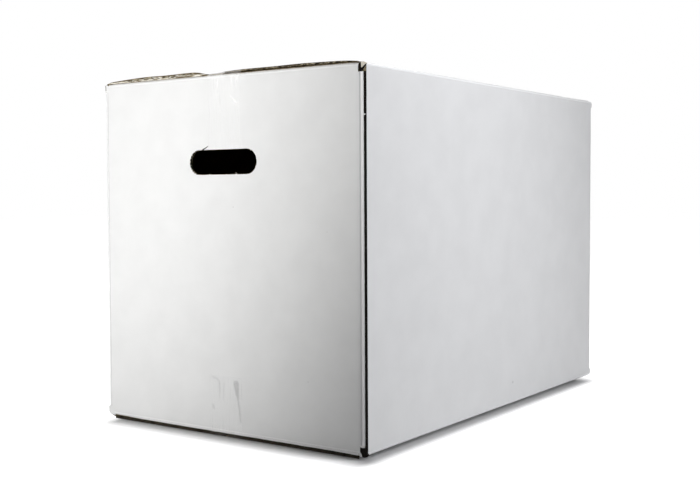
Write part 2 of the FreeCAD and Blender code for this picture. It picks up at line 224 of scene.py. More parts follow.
class Lines:
    """The blank's lines: place in plan, the way in, distance round the blank, and the flap's edges."""

    def __init__(self, spacing, fold_steps, marks_of):
        names = ("x", "y", "in_x", "in_y", "u", "to_first", "to_last", "past_first", "past_last")
        rows, self.panel = [], []
        u = 0.0
        for k, (panel, start, way, length, edges, past) in enumerate(RUNS):
            inward = (way[1], -way[0])
            marks = marks_of(panel, start, way, length, edges)
            count = max(2, int(length / spacing))
            near = min(spacing * 0.3, 0.6)  # regular lines this near a marked one are left out
            regular = [length * i / count for i in range(count + 1)]
            for t in sorted(marks + [t for t in regular if all(abs(t - m) > near for m in marks)]):
                first, last = (t - edges[0], length - edges[1] - t) if edges else (-1.0, -1.0)
                rows.append((start[0] + way[0] * t, start[1] + way[1] * t, *inward, u + t,
                             first, last, *(past or (0, 0))))
                self.panel.append(panel)
            u += length
            if k == len(RUNS) - 1:
                continue
            turned = (RUNS[k + 1][2][1], -RUNS[k + 1][2][0])
            centre = np.array(start) + np.array(way) * length + np.array(inward) * FOLD
            for i in range(1, fold_steps):
                a = math.pi / 2 * i / fold_steps
                inn = np.array(inward) * math.cos(a) + np.array(turned) * math.sin(a)
                rows.append((*(centre - inn * FOLD), *inn, u + NEUTRAL * a, -1.0, -1.0, 0, 0))
                self.panel.append("fold")
            u += NEUTRAL * math.pi / 2
        for name, column in zip(names, zip(*rows)):
            setattr(self, name, np.array(column, float)[:, None])
        self.panel = np.array(self.panel)
        self.in_flap = (self.to_first[:, 0] >= -1e-6) & (self.to_last[:, 0] >= -1e-6)
        self.end_u = u


WALL, FOLDED, FLAP = 0, 1, 2


def make_rows(flap_marks, fold_steps, wall_marks):
    """(kind, up, value) from the lower flap's free edge round to the upper one's."""
    angles = [math.pi / 2 * i / fold_steps for i in range(fold_steps, 0, -1)]
    rows = [(FLAP, -1, w) for w in reversed(flap_marks)] + [(FOLDED, -1, a) for a in angles]
    rows += [(WALL, 0, z) for z in wall_marks]
    return rows + [(FOLDED, 1, a) for a in reversed(angles)] + [(FLAP, 1, w) for w in flap_marks]


def row_lengths(rows):
    """How far up the blank each row lies."""
    v = []
    for kind, up, value in rows:
        past_crease = {WALL: 0, FOLDED: (value - 1) * FOLD, FLAP: value}[kind]
        v.append(CREASE[up] + up * past_crease if up else value)
    return np.array(v)[None, :]


def past_slots(rows):
    """1 for the rows beyond the slots' ends, where the flaps' edges are cut free."""
    inside = [kind == WALL and LOW_CREASE + SLOT - 0.01 <= value <= HIGH_CREASE - SLOT + 0.01
              for kind, up, value in rows]
    return 1.0 - np.array(inside, float)[None, :]


def edge_shift(lines, rows, back, back_at_lap, reach):
    """How far each point moves along its panel: out to the flap's cut edge, or back from it."""
    first = np.clip(1 - np.abs(lines.to_first) / reach, 0, 1) * (back - lines.past_first)
    last = np.clip(1 - np.abs(lines.to_last) / reach, 0, 1) * (back - lines.past_last)
    half = lines.to_first < lines.to_last
    shift = np.where(half, first, -last) * lines.in_flap[:, None] * past_slots(rows)
    return shift - np.clip(1 - (lines.end_u - lines.u) / reach, 0, 1) * back_at_lap * (
        1 - past_slots(rows))


def fold_up(lines, rows, depth, margin=0.0, shift=0.0):
    """Points of the folded sheet at a depth under its outer face, by line and row."""
    out = np.zeros((len(lines.u), len(rows), 3))
    depth = np.broadcast_to(depth, out.shape[:2])
    base = np.concatenate([lines.x, lines.y], axis=1)
    inward = np.concatenate([lines.in_x, lines.in_y], axis=1)
    way = np.stack([-inward[:, 1], inward[:, 0]], axis=1)
    x, y = base[:, 0], base[:, 1]
    ends = np.isin(lines.panel, ENDS)
    middle = (LOW_CREASE + HIGH_CREASE) / 2
    on_tab = np.where(lines.panel == "tab", y + HALF_LENGTH - FOLD, 0)
    shorter = np.clip((on_tab - CALIPER) / (TAB - CALIPER), 0, 1) * TAB_TAPER
    tab_scale = 1 - shorter / (HIGH_CREASE - SLOT - middle)
    to_edge = np.minimum(lines.to_first, lines.to_last)[:, 0]
    give = np.where(ends, CREST_GIVE * fade(np.clip(to_edge, 0, None), GIVE_REACH), 0)
    over_crest = np.clip((np.abs(y) - (HALF_LENGTH - CREST)) / CREST_RAMP, 0, 1)
    for j, (kind, up, value) in enumerate(rows):
        d = depth[:, j]
        if kind == WALL:
            w = d
            offset = value - HOLE_Z
            pull = (hole_half_height(x, margin) - ROWS_AT_HOLE) * math.exp(
                -(abs(offset) - ROWS_AT_HOLE) / HOLE_PULL)
            beside = ends & (abs(offset) >= ROWS_AT_HOLE - 0.01)
            z = np.where(beside, value + np.sign(offset) * pull, value)
            z = middle + (z - middle) * tab_scale
        elif kind == FOLDED:
            w = FOLD - (FOLD - d) * math.cos(value)
            lower = give + np.where((lines.panel == "right") & (up > 0), LOWER_FOLD, 0)
            z = CREASE[up] - up * FOLD + up * ((FOLD - d) - lower) * math.sin(value)
        else:
            w = value
            rise = rise_beside(x, up, y, w)
            thin = 1 - over_crest * (1 - np.clip((rise - 0.1) / CALIPER, THINNEST, 1))
            over = rise_beside(x, up, np.sign(y) * (HALF_LENGTH - w), HALF_WIDTH - np.abs(x))
            at_fold = fade(w - FOLD, SINK_REACH)
            sunk = np.clip(CALIPER + FLAP_CLEARANCE - over, FLAP_CLEARANCE, None) * (1 - at_fold)
            sunk = np.maximum(sunk, give * at_fold)
            rise = np.where(ends, -sunk, rise)
            thin = np.where(ends, np.clip(1 - sunk * SUNK_THINS, SUNK_THINNEST, 1), thin)
            z = CREASE[up] + up * rise - up * d * thin
        out[:, j, 0:2] = base + inward * np.reshape(np.broadcast_to(w, d.shape), (-1, 1))
        out[:, j, 2] = z
    out[:, :, 0:2] += way[:, None, :] * np.broadcast_to(shift, depth.shape)[:, :, None]
    return shape_as_used(out)


def shape_as_used(points):
    """The empty box's own set: one side panel leans in, and the panels are slightly hollow."""
    x, y, z = points[..., 0].copy(), points[..., 1].copy(), points[..., 2]
    high = np.clip(z / HIGH_CREASE, 0, 1)
    upright = np.clip(4 * high * (1 - high), 0, 1)
    across, lengthways = x / HALF_WIDTH, y / HALF_LENGTH
    points[..., 0] = x + high * np.where(x < 0, LEAN, -HOLLOW) * across ** 2
    points[..., 0] -= np.sign(x) * 2 * HOLLOW * np.clip(1 - lengthways ** 2, 0, 1) * upright * across ** 6
    share = HOLLOW_AT_ENDS + (1 - HOLLOW_AT_ENDS) * upright
    hollow = HOLLOW * np.clip(1 - across ** 2, 0, 1) * share
    points[..., 1] = y - np.sign(y) * hollow * lengthways ** 6
    return points


def kept_cells(lines, rows):
    """Which cells of the blank are board: the slots and the hand holes are cut out."""
    keep = np.ones((len(lines.u) - 1, len(rows) - 1), bool)
    same = lines.panel[:-1] == lines.panel[1:]
    flap_cell = lines.in_flap[:-1] & lines.in_flap[1:] & same
    over_hole = np.abs(lines.x[:, 0] - HOLE_X) <= HOLE_STRAIGHT + HOLE_HALF_HEIGHT + 1.0
    hole_line = over_hole & np.isin(lines.panel, ENDS)
    free = past_slots(rows)[0] > 0
    for j, (row, above) in enumerate(zip(rows[:-1], rows[1:])):
        if free[j] or free[j + 1]:
            keep[:, j] = flap_cell
        if row[0] == WALL and above[0] == WALL and abs(row[2] - HOLE_Z + ROWS_AT_HOLE) < 1e-6:
            keep[:, j] &= ~(hole_line[:-1] & hole_line[1:])
    return keep


def put(name, data):
    """An object in the scene."""
    made = bpy.data.objects.new(name, data)
    bpy.context.scene.collection.objects.link(made)
    return made


SHARP_FROM = math.radians(40)


def sheet_mesh(name, outer, inner, keep, flat_u, flat_v, materials, marks=None, hole_row=-9):
    """A closed thin sheet between two grids of points.

    Materials: outer face, inner face, cut edges, and the cut edges painted near-black as shade: the last
    line's, and those round the hand holes, which are cut out of hole_row. Marks are named values by point.
    """
    last_kind = min(len(materials) - 1, 3)
    count_i, count_j = outer.shape[:2]
    points = np.concatenate([outer.reshape(-1, 3), inner.reshape(-1, 3)]) * MM
    half = count_i * count_j
    index = np.arange(half).reshape(count_i, count_j)
    a, b = index[:-1, :-1][keep], index[1:, :-1][keep]
    c, d = index[1:, 1:][keep], index[:-1, 1:][keep]
    top = np.stack([a, d, c, b], axis=1)
    under = np.stack([a, b, c, d], axis=1) + half
    walls, wall_kinds = [], []
    padded = np.zeros((count_i + 1, count_j + 1), bool)
    padded[1:-1, 1:-1] = keep
    for i, j, first, second in (
        (-1, 0, (0, 1), (0, 0)), (1, 0, (1, 0), (1, 1)),
        (0, -1, (0, 0), (1, 0)), (0, 1, (1, 1), (0, 1)),
    ):
        neighbour = padded[1 + i:padded.shape[0] - 1 + i, 1 + j:padded.shape[1] - 1 + j]
        ii, jj = np.nonzero(keep & ~neighbour)
        p = index[ii + first[0], jj + first[1]]
        q = index[ii + second[0], jj + second[1]]
        walls.append(np.stack([p, p + half, q + half, q], axis=1)[:, ::-1])
        in_hole = (jj == hole_row - j) if j else (jj == hole_row)
        wall_kinds.append(np.where(in_hole | (i == 1) & (ii == count_i - 2), last_kind, 2))
    faces = np.concatenate([top, under] + walls)
    kinds = np.concatenate([np.zeros(len(top), int), np.ones(len(under), int)] + wall_kinds)
    used = np.zeros(len(points), bool)
    used[faces.ravel()] = True
    faces = (np.cumsum(used) - 1)[faces]
    blank = np.stack([np.broadcast_to(flat_u, (count_i, count_j)),
                      np.broadcast_to(flat_v, (count_i, count_j))], axis=-1).reshape(-1, 2)
    blank = np.concatenate([blank, blank])[used] * MM
    mesh = bpy.data.meshes.new(name)
    mesh.from_pydata(points[used].tolist(), [], faces.tolist(), shade_flat=False)
    mesh.polygons.foreach_set("material_index", kinds.astype(np.int32))
    uv = mesh.uv_layers.new(name="blank")
    uv.data.foreach_set("uv", blank[faces.ravel()].astype(np.float32).ravel())
    for word, values in (marks or {}).items():
        mark = mesh.attributes.new(word, "FLOAT", "POINT")
        both = np.concatenate([values.ravel(), values.ravel()])[used]
        mark.data.foreach_set("value", both.astype(np.float32))
    for material in materials:
        mesh.materials.append(material)
    mesh.validate()
    mesh.set_sharp_from_angle(angle=SHARP_FROM)
    return put(name, mesh)


# ---------- materials


def linear(code):
    """An sRGB hex colour as linear RGBA."""
    parts = [int(code[i:i + 2], 16) / 255 for i in (1, 3, 5)]
    return [p / 12.92 if p <= 0.04045 else ((p + 0.055) / 1.055) ** 2.4 for p in parts] + [1.0]


def add(tree, kind, inputs=(), **settings):
    """Add a node, with its settings, and with its inputs as values or links."""
    made = tree.nodes.new("ShaderNode" + kind)
    for name, value in settings.items():
        setattr(made, name, value)
    for name, value in dict(inputs).items():
        if isinstance(value, bpy.types.NodeSocket):
            tree.links.new(value, made.inputs[name])
        else:
            made.inputs[name].default_value = value
    return made


def new_material(name):
    """A material with an empty tree."""
    material = bpy.data.materials.new(name)
    material.use_nodes = True
    tree = material.node_tree
    tree.nodes.clear()
    return material, tree


def on_object(tree):
    """Where on the object a point is."""
    return add(tree, "TexCoord").outputs["Object"]


def on_blank(tree):
    """Where on the flat blank a point is."""
    return add(tree, "UVMap", uv_map="blank").outputs["UV"]


def principled(material, inputs):
    """Finish a material with one Principled shader."""
    shader = add(material.node_tree, "BsdfPrincipled", inputs)
    add(material.node_tree, "OutputMaterial", {"Surface": shader.outputs["BSDF"]})
    return material


def maths(tree, operation, *values):
    return add(tree, "Math", dict(enumerate(values)), operation=operation).outputs[0]


def vectors(tree, operation, *values):
    """A vector, or a number for a distance or a length."""
    made = add(tree, "VectorMath", dict(enumerate(values)), operation=operation)
    return made.outputs["Value" if operation in ("DISTANCE", "LENGTH") else "Vector"]


def mapped(tree, value, limits, results, **settings):
    """A value between two limits, mapped to between two results."""
    made = add(tree, "MapRange", {
        "Value": value, "From Min": limits[0], "From Max": limits[1], "To Min": results[0],
        "To Max": results[1]}, **settings)
    return made.outputs["Result"]


def mixed(tree, share, under, over):
    """The colour over, laid on the colour under by its share."""
    made = add(tree, "Mix", {"Factor": share, "A": under, "B": linear(over)}, data_type="RGBA")
    return made.outputs["Result"]


def noise(tree, where, scale, detail, roughness=0.5):
    return add(tree, "TexNoise", {"Vector": where, "Scale": scale, "Detail": detail,
                                  "Roughness": roughness}).outputs["Fac"]


def bump(tree, height, strength, distance, **more):
    """A relief, distance millimetres deep."""
    return add(tree, "Bump", {"Height": height, "Strength": strength, "Distance": distance * MM,
                              **more}).outputs["Normal"]


def marked(tree, name):
    """A value that the mesh keeps by point, 0 where it has none."""
    return add(tree, "Attribute", attribute_name=name).outputs["Fac"]


def ramp(tree, factor, stops):
    """A colour ramp through (place, hex colour) stops."""
    made = add(tree, "ValToRGB", {"Fac": factor})
    for k, (spot, colour) in enumerate(stops):
        stop = made.color_ramp.elements[k] if k < 2 else made.color_ramp.elements.new(spot)
        stop.position = spot
        stop.color = linear(colour)
    return made.outputs["Color"]


SPECKS = [  # dirt on the white liner: place, radius and how dark
    ((12.8, -287.3, 253.6), 0.8, 0.45),
    ((138.9, -287.3, 228.6), 0.7, 0.3),
    ((113.3, -287.4, 72.2), 0.8, 0.35),
    ((187.6, 37.7, 31.0), 2.2, 0.3),
    ((-96.0, 287.3, 148.0), 0.9, 0.4),
    ((-187.0, -60.0, 210.0), 1.0, 0.35),
    ((-186.0, 141.0, 330.0), 0.8, 0.3),
]


def white_top_liner():
    """Coated white-top testliner off the calender: matt, faintly cloudy.

    The flutes under it just show as fine upright washboard, folds are burnished paler with a painted
    highlight, thin lines of painted shade run beside them, and there is a speck of dirt here and there.
    """
    material, tree = new_material("white_top_testliner")
    where = on_object(tree)
    worn_and_highlit = marked(tree, "wear_and_highlight")
    colour = ramp(tree, noise(tree, where, 28.0, 3.0), [(0.32, "#E6E6E5"), (0.68, "#EAEAE9")])
    # the folds painted whiter: part burnish, part painted highlight
    colour = mixed(tree, worn_and_highlit, colour, "#FFFFFF")
    # painted shade along the score lines
    colour = mixed(tree, marked(tree, "score_shade"), colour, "#8C8C90")
    for spot, radius, dark in SPECKS:
        away = vectors(tree, "DISTANCE", where, [c * MM for c in spot])
        share = mapped(tree, away, (0.3 * radius * MM, radius * MM), (dark, 0.0))
        colour = mixed(tree, share, colour, "#6E6A62")
    across = add(tree, "SeparateXYZ", {"Vector": on_blank(tree)}).outputs["X"]
    turn = maths(tree, "MULTIPLY", across, 2 * math.pi / (FLUTE_PITCH * MM))
    grain = bump(tree, noise(tree, where, 700.0, 2.0), 0.3, 0.06)
    return principled(material, {
        "Base Color": colour, "Roughness": mapped(tree, worn_and_highlit, (0.0, 1.0), (0.6, 0.45)), "IOR": 1.5,
        "Specular IOR Level": 0.2,
        "Normal": bump(tree, maths(tree, "SINE", turn), 0.4, 0.03, Normal=grain)})


def kraft(name, stops, grain):
    """Unbleached kraft paper: brown and matt, mottled darker and paler over grain millimetres."""
    material, tree = new_material(name)
    fibres = noise(tree, on_object(tree), 1 / (grain * MM), 5.0, 0.65)
    return principled(material, {
        "Base Color": ramp(tree, fibres, stops), "Roughness": 0.9, "IOR": 1.5,
        "Specular IOR Level": 0.1, "Normal": bump(tree, fibres, 0.4, 0.2)})


def packing_film():
    """Extruded clear polypropylene film: nearly unseen, a soft shine, and faint milky drag lines.

    Streaks of painted highlight make it milky where light glints on it, and along its creases painted
    dark reflections make it grey. The drag lines run along the roll, drawn 2 mm apart so that they show,
    partly as painted sheen.
    """
    material, tree = new_material("clear_polypropylene_film")
    stretched = add(tree, "Mapping", {"Vector": on_blank(tree), "Scale": (500.0, 30.0, 1.0)})
    drags = noise(tree, stretched.outputs[0], 1.0, 3.0)
    # painted highlight and painted dark reflections, by point, raise the film's cover
    crease_dark_reflection = marked(tree, "crease_dark_reflection")
    cover = mapped(tree, drags, (0.45, 0.8), (0.008, 0.035))
    cover = maths(tree, "MULTIPLY_ADD", marked(tree, "painted_glint"), 0.1, cover)
    cover = maths(tree, "MULTIPLY_ADD", crease_dark_reflection, 0.17, cover)
    colour = mixed(tree, mapped(tree, crease_dark_reflection, (0.0, 0.12), (0.0, 1.0)), linear("#FFFFFF"), "#68686C")
    return principled(material, {
        "Base Color": colour, "Roughness": 0.3, "IOR": 1.49, "Alpha": cover,
        "Normal": bump(tree, drags, 0.2, 0.12)})


WHITE = white_top_liner()
KRAFT_FACE = kraft("unbleached_kraft_liner", [(0.25, "#80704F"), (0.75, "#A08E6A")], 3.5)
KRAFT_EDGE = kraft("die_cut_kraft_edge", [(0.3, "#5A5040"), (0.55, "#857A63"), (0.75, "#B5AA90")], 4.0)
# near-black: painted shade in the cut edges' flute channels, the hand holes and the corners' gaps
PAINTED_SHADE_EDGE = kraft("cut_edge_in_painted_shade", [(0.3, "#0E0C0A"), (0.7, "#1B1814")], 3.0)
# its brown is darker than the paper's own, partly as painted shade in the channels between the liners
FLUTING = kraft("semichemical_fluting_medium", [(0.25, "#3A3225"), (0.75, "#665A43")], 3.0)
TORN_MEDIUM = kraft("torn_fluting_medium", [(0.4, "#41392B"), (0.5, "#857960"), (0.6, "#CBC2AA")], 5.0)
TORN_LINER = kraft("torn_white_liner", [(0.36, "#978C72"), (0.45, "#D3CBB7"), (0.53, "#F3EFE5")], 7.0)
CRUSHED_MEDIUM = kraft("crushed_fluting_medium", [(0.34, "#463E31"), (0.52, "#736854"),
                                                  (0.66, "#A2977F")], 6.0)
# near-black: painted shade in the cut ends at the box's foot and in one upper flap's
SHADED_MEDIUM = kraft("fluting_medium_in_painted_shade", [(0.34, "#1C1913"), (0.6, "#38322A")], 6.0)
# pale paper ends and nicks, partly painted highlight where cut edges catch the light
PALE_END_AND_HIGHLIGHT = kraft("smoothed_paper_end_and_highlight", [(0.3, "#D2CAB6"), (0.7, "#EFEAE0")], 3.0)
FILM = packing_film()

# ---------- the board's three sheets
FLAP_MARKS = [4.9, 5.6, 6.4, 7.6, 9, 11, 14, 18, 23, 29, 37, 47, 60, 76, 95, 112, 128, 140, 147, 152,
              157, 162, 168, 177, REACH]
HOLE_STEPS = (6.0, 8.5, 12.0, 17.0, 23.0, 32.0, 44.0)
HOLE_ROWS = [HOLE_Z - s for s in reversed(HOLE_STEPS)] + [HOLE_Z + s for s in HOLE_STEPS]
USE_CREASES = (265.0, 283.0)  # faint upright creases near the rear of the +X panel
USE_HALF, USE_DIP = 2.2, 0.16  # half their width, and their depth
SCORE_FROM_FOLD = 1.4  # the scores' deepest line, from an upright fold's round
SCORE_HALF, SCORE_DIP = 2.0, 0.38
RULE_LINE, RULE_SHADE = 0.5, 0.5  # the creasing rule's line, from an upright fold, and how dark its painted shade is
SAME_LINE = 0.05
UPRIGHT_WEAR_AND_HIGHLIGHT, FLAP_WEAR_AND_HIGHLIGHT = 0.1, 0.8  # how much the folds' rounds are burnished and painted paler as highlight
WEAR_AND_HIGHLIGHT_REACH = 3.0
FLUTE_SETBACK = 3.0  # how deep the fluting stands back inside the hand holes' rims
EDGE_SETBACK = 6.0  # and along the flaps' cut ends, which show torn medium instead
LAP_SETBACK = 8.0  # and at the lap's raw edge
CUT_STEPS = (0.0, 1.2, 3.0, 6.0, 10.0)  # lines beside a flap's cut edge, in from it


def hole_marks(panel, start, way, outs):
    """Distances along an end panel's run of places out from the hole's middle, both ways."""
    if panel not in ENDS:
        return []
    return [(HOLE_X + side * out - start[0]) * way[0] for side in (-1, 1) for out in outs]


def liner_marks(panel, start, way, length, edges):
    marks = [0.0, RULE_LINE, 1.1, length - 1.1, length - RULE_LINE, length]
    if edges:
        marks += [edges[0] + step for step in CUT_STEPS]
        marks += [length - edges[1] - step for step in CUT_STEPS]
    if panel == "right":
        marks += [(y - start[1]) * way[1] + step * USE_HALF for y in USE_CREASES for step in (-1, 0, 1)]
    round_end = [HOLE_STRAIGHT + HOLE_HALF_HEIGHT * math.sin(math.radians(15 * k)) for k in range(7)]
    beyond = [HOLE_STRAIGHT + HOLE_HALF_HEIGHT + more for more in (2.0, 5.0)]
    marks = sorted(marks + hole_marks(panel, start, way, round_end + beyond))
    return [t for k, t in enumerate(marks) if 0 <= t <= length and (k == 0 or t - marks[k - 1] > 1e-6)]


def fluting_marks(panel, start, way, length, edges):
    marks = {0.0, length}
    if edges:
        marks |= {float(edges[0]), float(length - edges[1])}
    tip = HOLE_STRAIGHT + HOLE_HALF_HEIGHT + FLUTE_SETBACK
    return sorted(marks | set(hole_marks(panel, start, way, [tip])))


def wall_marks(spacing):
    low, high = LOW_CREASE + FOLD, HIGH_CREASE - FOLD
    slots = [low, LOW_CREASE + SLOT - 0.05, LOW_CREASE + SLOT, HIGH_CREASE - SLOT,
             HIGH_CREASE - SLOT + 0.05, high]
    marks = slots + HOLE_ROWS
    count = int((high - low) / spacing)
    regular = [low + (high - low) * i / count for i in range(1, count)]
    return sorted(marks + [z for z in regular if all(abs(z - m) > spacing * 0.45 for m in marks)
                           and abs(z - HOLE_Z) > HOLE_STEPS[-1]])


def fold_groups(lines):
    folds = np.nonzero(lines.panel == "fold")[0]
    return np.split(folds, np.nonzero(np.diff(folds) > 1)[0] + 1)


def fold_marks(lines, rows):
    """What the upright folds and scores do, by point: press in, burnish and paint light and shade.

    The scores press it in beside the folds, and so do two faint creases from use. The coating is
    burnished and painted paler as highlight on the folds' rounds: much on the flaps' folds, little
    on the upright ones, fading out beside them. Thin lines of painted shade run along the creasing rule's
    lines.
    """
    u, on_wall = lines.u, 1 - past_slots(rows)
    dip, wear_and_highlight, score_shade = np.zeros((3, len(u), len(rows)))
    for group in fold_groups(lines):
        low, high = u[group[0], 0], u[group[-1], 0]
        wear_and_highlight += UPRIGHT_WEAR_AND_HIGHLIGHT * fade(np.maximum(np.maximum(low - u, u - high), 0), WEAR_AND_HIGHLIGHT_REACH)
        for edge in (low - SCORE_FROM_FOLD, high + SCORE_FROM_FOLD):
            dip += SCORE_DIP * fade(u - edge, SCORE_HALF)
        for edge in (u[group[0] - 1, 0] - RULE_LINE, u[group[-1] + 1, 0] + RULE_LINE):
            score_shade += RULE_SHADE * (np.abs(u - edge) < SAME_LINE)
    for y in USE_CREASES:
        dip += USE_DIP * fade(lines.y - y, USE_HALF) * (lines.panel == "right")[:, None]
    # the flaps' folds: burnished and painted paler as highlight
    folded = np.array([FLAP_WEAR_AND_HIGHLIGHT if kind == FOLDED else 0.0 for kind, _, _ in rows])
    return dip * on_wall, np.clip(np.maximum(wear_and_highlight * on_wall, folded), 0, 1), score_shade * on_wall


fine_lines = Lines(7.0, 6, liner_marks)
fine_rows = make_rows(FLAP_MARKS, 6, wall_marks(12.0))
fine_keep = kept_cells(fine_lines, fine_rows)
fine_dip, fine_wear_and_highlight, fine_score_shade = fold_marks(fine_lines, fine_rows)
fine_shift = edge_shift(fine_lines, fine_rows, 0.0, 0.0, 0.01)
fine_v = row_lengths(fine_rows)
hole_row = fine_rows.index((WALL, 0, HOLE_Z - ROWS_AT_HOLE))


def liner(name, depth, materials, marks=None):
    """One of the board's facings, its outer face at a depth."""
    outer, inner = (fold_up(fine_lines, fine_rows, d, 0.0, fine_shift) for d in (depth, depth + LINER))
    return sheet_mesh(name, outer, inner, fine_keep, fine_lines.u, fine_v, materials, marks, hole_row)


board_pieces = [
    liner("white_liner", fine_dip, (WHITE, KRAFT_FACE, KRAFT_EDGE, PAINTED_SHADE_EDGE),
          {"wear_and_highlight": fine_wear_and_highlight, "score_shade": fine_score_shade}),
    liner("kraft_liner", CALIPER - LINER, (KRAFT_FACE, KRAFT_FACE, KRAFT_EDGE, PAINTED_SHADE_EDGE)),
]

CREST_FLATNESS = 1.6  # how much flatter the flutes' crests are than a sine's
PAPER_GAP = 0.02  # between the fluting and the liners
flute_lines = Lines(1.3, 4, fluting_marks)
flute_rows = make_rows(FLAP_MARKS[1::2] + [REACH], 4, wall_marks(60.0))
flute_keep = kept_cells(flute_lines, flute_rows)
flute_dip, _, _ = fold_marks(flute_lines, flute_rows)
turn = 2 * math.pi * flute_lines.u / FLUTE_PITCH
crest = 0.5 + 0.5 * np.tanh(CREST_FLATNESS * np.sin(turn)) / math.tanh(CREST_FLATNESS)
slope = (CALIPER - 2 * LINER) / 2 * 2 * math.pi / FLUTE_PITCH * np.cos(turn)
half_paper = MEDIUM / 2 * np.sqrt(1 + slope ** 2)
shallow = LINER + flute_dip + MEDIUM / 2 + PAPER_GAP
deep = CALIPER - LINER - MEDIUM / 2 - PAPER_GAP
middle_depth = shallow + (deep - shallow) * crest
flute_v = row_lengths(flute_rows)
setback = edge_shift(flute_lines, flute_rows, EDGE_SETBACK + 0.8 * ripples(5, 17, flute_v),
                     LAP_SETBACK, 16.0)
outer_all = fold_up(flute_lines, flute_rows, np.maximum(middle_depth - half_paper, LINER + flute_dip),
                    FLUTE_SETBACK, setback)
inner_all = fold_up(flute_lines, flute_rows, np.minimum(middle_depth + half_paper, CALIPER - LINER),
                    FLUTE_SETBACK, setback)
panels = ("front", "left", "rear", "right")
starts = [0] + [int(np.nonzero(flute_lines.panel == panel)[0][0]) for panel in panels[1:]]
starts.append(len(flute_lines.u) - 1)
for name, first, last in zip(panels, starts[:-1], starts[1:]):
    part = slice(first, last + 1)
    board_pieces.append(sheet_mesh(
        f"fluting_{name}", outer_all[part], inner_all[part], flute_keep[first:last],
        flute_lines.u[part], flute_v, (FLUTING, FLUTING, FLUTING)))

# ---------- torn medium at the cut ends


def sheet_of(name, above, below, run, across, materials, marks=None, keep=None):
    """A thin sheet between two grids, each given as x, y and z by row along it and column across.

    Run and across are its flat sizes, a column and a row.
    """
    grids = [shape_as_used(np.stack(np.broadcast_arrays(*axes), axis=-1).astype(float))
             for axes in (above, below)]
    if keep is None:
        keep = np.ones((grids[0].shape[0] - 1, grids[0].shape[1] - 1), bool)
    return sheet_mesh(name, grids[0], grids[1], keep, run, np.array([across], float), materials, marks)


STRIP_BACK = 0.25  # the torn strips' fronts stand this far behind the cut,
STRIP_WANDER = 1.3  # and up to this much further
UNDER_LINER = 0.03  # they stay this far under the flap's upper liner,
IN_LOWER_LINER = 0.2  # and reach this far into its lower one


def torn_medium(name, side, up, end, seed, papers):
    """Torn and flattened fluting that shows between the liners at a side flap's cut end.

    Side and up choose the flap, end is -1 at the front and 1 at the rear. Each strip runs along
    the cut between its two liners, at a height and a depth that wander. Papers: one for each
    strip, the innermost first.
    """
    made = []
    run = np.arange(6.0, REACH - 0.5, 1.6)[:, None]
    w = run[::-1] if side * end < 0 else run
    y_cut = HALF_LENGTH - SIDE_INSET
    rise = side_flap_rise(side, up, end * y_cut, w)
    facing = LINER * np.clip(rise / CALIPER, THINNEST, 1)
    under, top = np.maximum(rise - CALIPER, 0.1) + facing, rise - facing
    back, lift = np.array([(0.0, 0.0), (0.7, -0.12), (2.2, 0.1), (EDGE_SETBACK, 0.3)]).T
    for k, material in enumerate(papers):
        share = np.clip((k + 0.5) / len(papers) + 0.3 * ripples(seed + k, 26, w)
                        + 0.2 * ripples(seed + 31 + k, 8, w), 0.06, 0.94)
        wander = 0.5 + 0.5 * np.clip(ripples(seed + 53 + k, 14, w), -1, 1)
        out = y_cut - STRIP_BACK - STRIP_WANDER * wander
        middle = under + (top - under) * np.clip(share + lift * (-1) ** k, 0.04, 0.96)
        patch = np.clip(0.9 + 1.1 * ripples(seed + 71 + k, 12, w), 0.25, 2.2)
        thick = np.clip((top - under) * 0.8 / len(papers) * patch, 0.06, 1.2)
        faces = [(side * (HALF_WIDTH - w), end * (out - back), CREASE[up] + up * height)
                 for height in (np.minimum(middle + thick / 2, top - UNDER_LINER),
                                np.maximum(middle - thick / 2, under - IN_LOWER_LINER))]
        made.append(sheet_of(f"{name}_{k}", *faces[::up], run, (0, 1, 3, 7), (material,) * 3))
    return made


# the lower flaps' cut ends, and the innermost strip of the upper +X front one, are painted near-black as
# shade
SHADED_PAPERS = (SHADED_MEDIUM,) * 3
for place, side, up, end, seed, papers in (
    ("left_front", -1, 1, -1, 11, (TORN_LINER, TORN_MEDIUM, TORN_LINER, TORN_MEDIUM, TORN_MEDIUM)),
    ("right_front", 1, 1, -1, 21, (SHADED_MEDIUM, CRUSHED_MEDIUM, TORN_MEDIUM)),
    ("left_rear", -1, 1, 1, 31, (TORN_LINER, TORN_MEDIUM, CRUSHED_MEDIUM)),
    ("right_rear", 1, 1, 1, 41, (CRUSHED_MEDIUM,) * 3),
    ("lower_left_front", -1, -1, -1, 61, SHADED_PAPERS),
    ("lower_left_rear", -1, -1, 1, 61, SHADED_PAPERS),
    ("lower_right_front", 1, -1, -1, 71, SHADED_PAPERS),
    ("lower_right_rear", 1, -1, 1, 71, SHADED_PAPERS),
):
    board_pieces += torn_medium(f"torn_medium_{place}", side, up, end, seed, papers)


def hole_wall(name, end):
    """A hand hole's die-cut wall: crushed fluting between the liners, all the way round, painted
    near-black as shade.
    """
    a = np.linspace(0, 2 * math.pi, 121)[:, None]
    y = sorted((end * (HALF_LENGTH - CALIPER + LINER), end * (HALF_LENGTH - LINER)), reverse=True)
    rings = []
    for more in (0.12, 0.7):
        radius = HOLE_HALF_HEIGHT + more + 0.1 * waves(83, 0.5, np.cos(a), np.sin(a))
        x = HOLE_X + np.sign(np.cos(a)) * HOLE_STRAIGHT + radius * np.cos(a)
        rings.append((x, y, HOLE_Z + radius * np.sin(a)))
    return sheet_of(name, *rings, a * HOLE_HALF_HEIGHT, (0.0, 3.0), (PAINTED_SHADE_EDGE,) * 3)


def up_the_lap(count):
    """Heights up the near corner, from slot to slot."""
    return np.linspace(LOW_CREASE + SLOT + 0.1, HIGH_CREASE - SLOT - 0.1, count)[:, None]


